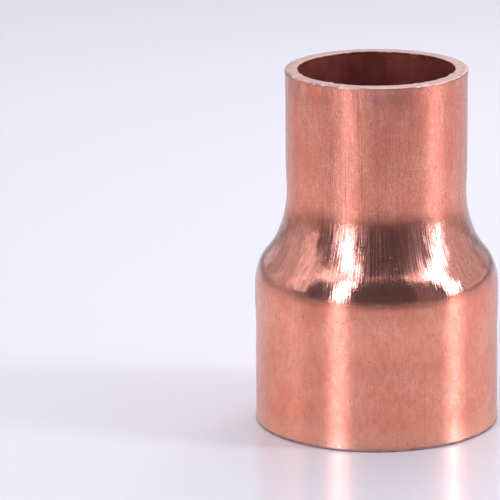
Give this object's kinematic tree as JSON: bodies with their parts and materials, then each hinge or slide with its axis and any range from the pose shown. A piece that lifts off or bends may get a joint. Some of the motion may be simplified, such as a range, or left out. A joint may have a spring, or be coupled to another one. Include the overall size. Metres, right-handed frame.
{
  "type": "concentric reducer",
  "caption": "Seamless copper concentric reducing coupling: a wide and a narrow solder socket on one axis, joined by a rounded shoulder and a soft neck, open right through.",
  "frame": {"origin": "centre of the wide end's rim, in the plane of its cut face", "axes": "+Z along the common axis of both sockets, from the wide end up to the narrow end; X and Y are any two directions across it"},
  "size_m": [0.025, 0.025, 0.0366],
  "materials": {
    "copper": "drawn copper, satin on both straight walls and burnished on the shoulder"
  },
  "bodies": {
    "root": {"reducer_body": "copper"}
  },
  "joints": []
}
